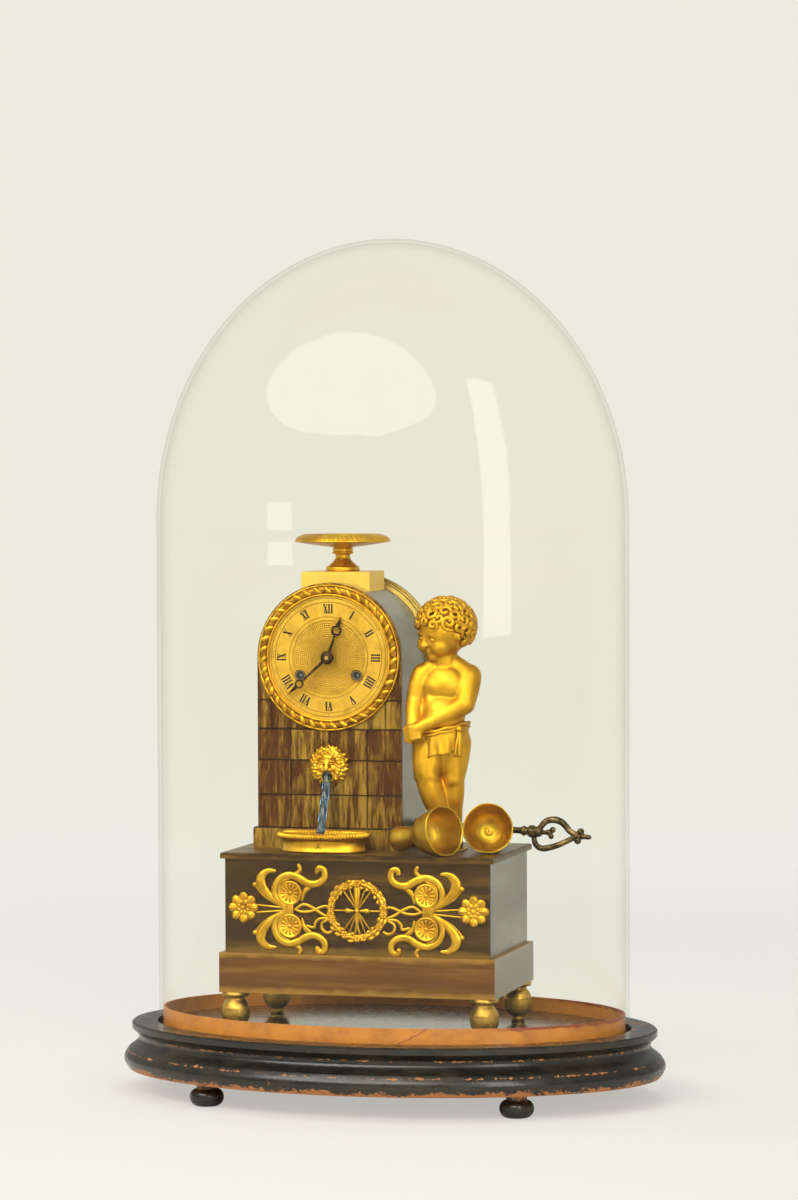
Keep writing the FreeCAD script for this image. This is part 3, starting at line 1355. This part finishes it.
def build_fountain():
    """Model the lion mask, the turning glass rod, the basin and their drive."""
    spindle_z = slab_top + S.mask_rise - S.mouth_drop
    lean = Rotation(Vector(1, 0, 0), math.degrees(math.atan2(rod_run(), float(S.rod_drop))))
    lean = Rotation(Vector(1, 0, 0), -2 * math.degrees(math.atan2(rod_run(),
                                                                  float(S.rod_drop)))).multiply(lean)
    apex_y = case_front - S.rod_start
    length = math.hypot(rod_run(), float(S.rod_drop))
    build_mask(spindle_z, lean)

    cone = math.radians(90 + math.degrees(math.atan2(rod_run(), float(S.rod_drop)))) / 2
    heel = float(S.bevel_radius) / math.tan(cone)
    toe = heel * 0.55
    radius, slack = float(S.rod_radius), float(S.hole_clearance)
    cup_low = heel + radius * 2.4
    cup = join([bevel(heel, toe, cone, 0), Part.makeCone(radius * 0.98, radius * 1.2, heel * 0.5,
                                                        Vector(0, 0, -heel), Vector(0, 0, -1)),
                Part.makeCylinder(radius * 1.2, cup_low - heel * 1.5, Vector(0, 0, -heel * 1.5),
                                  Vector(0, 0, -1))])
    socket = Part.makeCylinder(radius * 0.9, radius * 1.6, Vector(0, 0, -cup_low), Vector(0, 0, 1))
    node(free("rod_cup_solid", cup.cut(socket), case_x, apex_y, spindle_z, lean), "rod_cup")
    glass = join([Part.makeCylinder(radius * 0.88, radius * 1.6, Vector(0, 0, -cup_low), Vector(0, 0, 1)),
                  Part.makeCylinder(radius, length - cup_low, Vector(0, 0, -cup_low), Vector(0, 0, -1))])
    node(free("glass_rod_solid", glass, case_x, apex_y, spindle_z, lean), "glass_rod")

    build_drive(heel, toe, cone, slack)
    build_basin()


def rod_run():
    """Return how far the rod comes forward on its way down."""
    return float(S.rod_reach - S.rod_start)


def bevel(heel, toe, cone, turn):
    """Return a bevel gear that hangs below its own cone's point."""
    module = float(S.bevel_radius) * 2 / BEVEL_TEETH
    face = gear_face(BEVEL_TEETH, module, 0.16, 0.3)
    outline = face.OuterWire
    far = outline.translated(Vector(0, 0, -heel))
    near = outline.scaled(toe / heel).translated(Vector(0, 0, -toe))
    gear = Part.makeLoft([near, far], True, True)
    gear.rotate(Vector(0, 0, 0), Vector(0, 0, 1), turn)
    return gear


BEVEL_TEETH = 12


def build_drive(heel, toe, cone, slack):
    """Model the fountain's frame, its spring barrel and the spindle, with depths from the case's front."""
    module, gap = float(S.fountain_module), float(S.fountain_gap)
    low = float(S.front_wall)
    wall = float(S.plate_wall) * 0.75
    inside, back = low + wall, low + wall + gap
    spindle_z = float(slab_top + S.mask_rise - S.mouth_drop - arch_z)
    reach = (FOUNTAIN_TEETH + FOUNTAIN_LEAVES) * module / 2
    drop = float(S.fountain_drop)
    spindle = Vector(0, spindle_z, 0)
    barrel = Vector(math.sqrt(reach ** 2 - drop ** 2), spindle_z - drop, 0)
    start = float(S.rod_start)
    gear_low = inside + wall * 0.6
    gear_high = gear_low + float(S.wheel_wall) * 1.6
    journal, tail = float(S.pipe_radius) * 0.7, float(S.pivot_radius)

    turn = mesh_turn(barrel, spindle, 0, FOUNTAIN_TEETH, FOUNTAIN_LEAVES)
    head = bevel(heel, toe, cone, 180.0 / BEVEL_TEETH)
    head.rotate(Vector(0, 0, 0), Vector(1, 0, 0), 180)
    head.translate(Vector(0, 0, slack * 2 - start))
    add_wheel("rod_spindle", join([
        head, shaft(journal, -start + heel, back), shaft(tail, back - slack, back + wall),
        slab_of(gear_face(FOUNTAIN_LEAVES, module), turn, gear_low - wall * 0.2, gear_high + wall * 0.2)]),
        spindle)

    drum = float(S.barrel_radius)
    arbor = float(S.arbor_radius)
    add_wheel("fountain_barrel", pierced([
        slab_of(gear_face(FOUNTAIN_TEETH, module), 0, gear_low, gear_high),
        Part.makeCylinder(drum, back - wall - gear_high, Vector(0, 0, gear_high))],
        arbor + slack, gear_low, back), barrel)

    corners = [Vector(x, y, 0) for x, y in ((-drum * 0.62, spindle_z + arbor * 3),
                                            (reach * 1.62, spindle_z + arbor * 3),
                                            (reach * 1.62, spindle_z - reach * 1.62),
                                            (-drum * 0.62, spindle_z - reach * 1.62))]
    plates = []
    for depth in (low, back):
        sheet_face = wire_face([(corner.x, corner.y) for corner in corners])
        plates.append(sheet_face.extrude(Vector(0, 0, wall)).translated(Vector(0, 0, depth)))
    inset = arbor * 1.4
    posts = [Part.makeCylinder(arbor * 0.8, gap, Vector(corner.x + inset * side_x,
                                                        corner.y + inset * side_y, inside))
             for corner, side_x, side_y in zip(corners, (1, -1, -1, 1), (-1, -1, 1, 1))]
    fixed = Part.makeCylinder(arbor, gap + wall * 3, barrel + Vector(0, 0, inside))
    square = arbor * 1.3
    end = Part.makeBox(square, square, float(S.dial_gap), barrel + Vector(-square / 2, -square / 2,
                                                                          back + wall * 2))
    stub_depth = float(S.key_y - S.case_front)
    stub_y = float(slab_top + S.key_rise - arch_z)
    side = reach * 1.62
    size = arbor * 1.8
    bracket = Part.makeBox(size * 2, size * 2, stub_depth + size - back,
                           Vector(side - size * 2, stub_y - size * 0.5, back))
    stub = Part.makeCylinder(arbor * 0.6, float(S.key_x - S.case_x) + float(S.key_length) * 0.09 - side + size,
                             Vector(side - size, stub_y, stub_depth), Vector(1, 0, 0))
    frame = join(plates + posts + [fixed, end, bracket, stub])
    frame = frame.cut(Part.makeCylinder(journal + slack, wall * 3, spindle + Vector(0, 0, low - wall)))
    frame = frame.cut(Part.makeCylinder(tail + slack, wall * 3, spindle + Vector(0, 0, back - wall)))
    add_wheel("fountain_frame", frame, Vector(0, 0, 0))


def build_mask(spindle_z, lean):
    """Model the lion mask as plain masses, bored for the spindle and open at the mouth for the rod."""
    radius, height = float(S.mask_radius), float(S.mask_height)
    points = []
    for step in range(MANE_LOCKS * 2):
        turn = math.pi * step / MANE_LOCKS
        reach = radius * (1.0 if step % 2 == 0 else 0.84)
        points.append((reach * math.sin(turn), reach * math.cos(turn)))
    mane = wire_face(points).extrude(Vector(0, 0, height * 0.3))
    inner = wire_face([(x * 0.82, y * 0.82) for x, y in points]).extrude(Vector(0, 0, height * 0.52))
    inner.rotate(Vector(0, 0, 0), Vector(0, 0, 1), 180.0 / MANE_LOCKS)
    cheeks = egg(Vector(0, 0, height * 0.2), (radius * 0.66, radius * 0.74, height * 0.62))
    brow = egg(Vector(0, radius * 0.26, height * 0.5), (radius * 0.42, radius * 0.24, height * 0.3))
    muzzle = egg(Vector(0, -radius * 0.16, height * 0.56), (radius * 0.36, radius * 0.42, height * 0.44))
    nose = egg(Vector(0, radius * 0.1, height * 0.72), (radius * 0.17, radius * 0.36, height * 0.28))
    ears = [egg(Vector(side * radius * 0.5, radius * 0.5, height * 0.45), (radius * 0.15, radius * 0.17,
                                                                           height * 0.3))
            for side in (-1, 1)]
    below = Part.makeBox(radius * 4, radius * 4, radius * 2, Vector(-radius * 2, -radius * 2, -radius * 2))
    solid = join([mane, inner, cheeks, brow, muzzle, nose] + ears).cut(below)
    solid.Placement = Placement(Vector(0, 0, float(S.mouth_drop)), FACING)
    throat = Part.makeCylinder(radius * 0.38, float(S.rod_start) * 1.36, Vector(0, 0, 0), Vector(0, -1, 0))
    passage = Part.makeCylinder(float(S.rod_radius) * 1.42, radius * 2, Vector(0, 0, 0), Vector(0, 0, -1))
    passage.Placement = Placement(Vector(0, -float(S.rod_start), 0), lean)
    hollow = Part.makeSphere(radius * 0.3, Vector(0, -float(S.rod_start), 0))
    shape = solid.cut(throat).cut(passage).cut(hollow)
    node(free("lion_mask_solid", shape, case_x, case_front, spindle_z), "lion_mask")


MANE_LOCKS = 14


def oval_band(half_length, half_width, low, high, top_share=1.0):
    """Return an oval block whose top may be wider or narrower than its base."""
    rings = []
    for height, share in ((low, 1.0), (high, top_share)):
        ellipse = Part.Ellipse(Vector(0, 0, height), half_length * share, half_width * share)
        rings.append(Part.Wire(ellipse.toShape()))
    return Part.makeLoft(rings, True, True)


def build_basin():
    """Model the oval basin, with its reeded rim and stud, and the patterned plate inside it."""
    long, wide = float(S.basin_half_width), float(S.basin_half_depth)
    height, rim, wall = float(S.basin_height), float(S.basin_rim), float(S.basin_wall)
    rim_low, floor = height - rim, wall
    grid_top = height - float(S.grid_drop)
    body = join([
        oval_band(long * 0.86, wide * 0.86, 0, wall, 1.03), oval_band(long * 0.88, wide * 0.88, wall,
                                                                      rim_low, 1.03),
        oval_band(long, wide, rim_low, height)])
    ledge = grid_top - wall * 0.6
    body = body.cut(oval_band(long - wall * 2.4, wide - wall * 2.4, ledge, height * 2))
    body = body.cut(oval_band(long * 0.88 - wall * 2.4, wide * 0.88 - wall * 2.4, floor, ledge * 1.01))
    stud_length = float(S.slab_wall + S.nut_height)
    stud = Part.makeCylinder(float(S.stud_radius), stud_length + floor, Vector(0, 0, -stud_length))
    place_y = basin_middle()
    node(free("basin_solid", join([body, stud]), case_x, place_y, slab_top), "basin")
    gap = float(S.seat_gap)
    grid = oval_band(long - wall * 2.4 - gap, wide - wall * 2.4 - gap, ledge, grid_top)
    slots = []
    for across in range(-7, 8):
        for along in range(-3, 4):
            x, y = across * wall * 1.9, along * wall * 2.2
            if (x / long) ** 2 + (y / wide) ** 2 < 0.5:
                slots.append(Part.makeBox(wall * 0.9, wall * 1.3, height,
                                          Vector(x - wall * 0.45, y - wall * 0.65, 0)))
    grid = grid.cut(Part.makeCompound(slots))
    node(free("basin_grid_solid", grid, case_x, place_y, slab_top), "basin_grid")


# Figure

# Each mass is given as shares of the figure's height: a place, then one radius or three half sizes.
BALL_SHARES = {
    "head": ((0.035, -0.012, 0.874), (0.1, 0.108, 0.112)),
    "hair": ((0.045, 0.004, 0.895), (0.116, 0.118, 0.105)),
    "chest": ((0.03, 0.0, 0.64), (0.105, 0.085, 0.12)),
    "belly": ((0.018, -0.012, 0.53), (0.097, 0.095, 0.095)),
    "hips": ((0.026, 0.0, 0.435), (0.107, 0.1, 0.085)),
    "seat": ((0.05, 0.03, 0.42), (0.085, 0.075, 0.075)),
    "drape": ((-0.02, -0.055, 0.435), (0.085, 0.06, 0.075)),
    "hands": ((-0.085, -0.095, 0.478), (0.045, 0.04, 0.042)),
}
LIMB_SHARES = (
    ((0.03, 0.0, 0.72), 0.045, (0.035, -0.005, 0.8), 0.042),
    ((-0.055, -0.005, 0.705), 0.047, (0.12, 0.012, 0.695), 0.05),
    ((-0.055, -0.005, 0.705), 0.046, (-0.105, -0.025, 0.61), 0.036),
    ((-0.105, -0.025, 0.61), 0.036, (-0.09, -0.085, 0.495), 0.026),
    ((0.12, 0.012, 0.695), 0.052, (0.105, -0.04, 0.575), 0.04),
    ((0.105, -0.04, 0.575), 0.04, (-0.07, -0.1, 0.485), 0.026),
    ((-0.03, -0.01, 0.41), 0.07, (-0.05, -0.045, 0.255), 0.05),
    ((-0.05, -0.045, 0.255), 0.048, (-0.03, -0.015, 0.06), 0.026),
    ((0.07, 0.015, 0.41), 0.075, (0.055, 0.0, 0.245), 0.048),
    ((0.055, 0.0, 0.245), 0.046, (0.04, 0.035, 0.06), 0.026),
    ((-0.03, -0.012, 0.045), 0.025, (-0.06, -0.065, 0.034), 0.018),
    ((0.04, 0.035, 0.045), 0.025, (0.075, -0.01, 0.034), 0.018),
)


def build_figure():
    """Model the child's figure as rounded masses on a small base, with its stud."""
    height, base = float(S.figure_height), float(S.figure_base_height)
    masses = []
    for place_share, half_shares in BALL_SHARES.values():
        masses.append(egg(Vector(*place_share) * height, [share * height for share in half_shares]))
    for start, start_share, end, end_share in LIMB_SHARES:
        masses += limb(Vector(*start) * height, start_share * height, Vector(*end) * height,
                       end_share * height)
    body = masses[0]
    for mass in masses[1:]:
        body = body.fuse(mass)
    foot = Part.makeBox(height, height, height, Vector(-height / 2, -height / 2, -height))
    body = body.cut(foot)
    low = Part.Ellipse(Vector(0, -base, 0), height * 0.105, height * 0.075)
    plinth = Part.Face(Part.Wire(low.toShape())).extrude(Vector(0, 0, base))
    stud_length = float(S.slab_wall + S.nut_height)
    stud = Part.makeCylinder(float(S.stud_radius), stud_length + base, Vector(0, 0, -stud_length))
    shape = body.fuse([plinth, stud])
    node(free("putto_solid", shape, S.clock_x + S.figure_x, S.clock_y + S.figure_y, slab_top),
         "putto_figure")


# Loose goblets and winding key

KEY_DROOP = 3.0


def build_goblets():
    """Model the two loose goblets where they lie on the slab."""
    height, mouth, foot, wall = S.goblet_height, S.goblet_radius, S.goblet_foot_radius, S.goblet_wall
    tilt = math.degrees(math.asin(float(mouth - foot) / float(height)))
    for label, x, y, heading in (("goblet_left", S.goblet_left_x, S.goblet_left_y, 57.5),
                                 ("goblet_right", S.goblet_right_x, S.goblet_right_y, 12.0)):
        body = turned(label + "_turned", [
            (0, 0), (foot * 0.88, 0), (foot, height * 0.03), (foot * 0.84, height * 0.52),
            (mouth * 0.64, height * 0.61), (mouth * 0.83, height * 0.73), (mouth * 0.93, height * 0.86),
            (mouth, height), (mouth - wall, height), (mouth * 0.93 - wall, height * 0.865),
            (mouth * 0.83 - wall, height * 0.74), (mouth * 0.6 - wall, height * 0.64),
            (wall * 1.8, height * 0.59),
            (wall * 1.5, height * 0.61), (wall * 0.8, height * 0.625), (0, height * 0.625)])
        turn = Rotation(Vector(0, 0, 1), heading).multiply(Rotation(Vector(1, 0, 0), 90 - tilt))
        node(place(body, S.clock_x + x, S.clock_y + y, slab_top + foot * math.cos(math.radians(tilt)),
                   turn), label)


def build_key():
    """Model the loose winding key: barrel, collar and pierced bow with a small top."""
    shank, length, bow = float(S.key_shank_radius), float(S.key_length), float(S.key_bow_height)
    tube = join([Part.makeCylinder(shank, length * 0.72), Part.makeCylinder(shank * 1.6, length * 0.12),
                 ball(Vector(0, 0, length * 0.61), shank * 1.4), ball(Vector(0, 0, length * 0.65),
                                                                      shank * 1.8)])
    ring = bow_ring(bow, shank * 1.8).translated(Vector(0, 0, length * 0.69))
    top = length * 0.93
    knobs = [ball(Vector(x * shank, 0, top + z * shank), shank * 1.15)
             for x, z in ((-1.5, -0.2), (1.5, -0.2), (0, 0.6), (0, 1.9))]
    shape = join([tube, ring] + knobs)
    socket = Part.makeCylinder(shank * 1.05, length * 0.11)
    turn = Rotation(Vector(0, 1, 0), 90 + KEY_DROOP)
    node(free("key_solid", shape.cut(socket), S.clock_x + S.key_x, S.clock_y + S.key_y,
              slab_top + S.key_rise, turn),
         "winding_key")


def bow_ring(bow, thickness):
    """Return the key's pierced bow, round by the collar and pointed at its top, in the XZ plane."""
    half, high = bow / 2, bow * 1.3
    points = []
    for step in range(36):
        turn = 2 * math.pi * step / 36
        points.append((half * math.sin(turn) * (1 + 0.25 * math.cos(turn)),
                       high * (0.5 - 0.5 * math.cos(turn))))
    inner = [(x * 0.58, high * 0.46 + (y - high * 0.5) * 0.66) for x, y in points]
    ring = wire_face(points).cut(wire_face(inner)).extrude(Vector(0, 0, thickness))
    ring.rotate(Vector(0, 0, 0), Vector(1, 0, 0), 90)
    return ring.translated(Vector(0, thickness / 2, 0))


def finish():
    """Check every object, then write each sub-part to its own file."""
    doc.recompute()
    for thing in doc.Objects:
        if "Invalid" in thing.State or "Error" in thing.State:
            raise RuntimeError("%s is %s" % (thing.Name, thing.State))
    os.makedirs("parts", exist_ok=True)
    for label, thing in nodes.items():
        shape = thing.Shape
        if shape.isNull() or not shape.isValid():
            raise RuntimeError("%s has no sound shape" % label)
        shape.exportStep(os.path.join("parts", label + ".step"))


build_stand()
build_box()
build_nuts()
build_mounts()
build_case()
build_rear()
build_dial()
pallet_spot, movement_tail = build_movement()
build_pendulum(pallet_spot, movement_tail)
build_bell(movement_tail)
build_fountain()
build_figure()
build_goblets()
build_key()
finish()
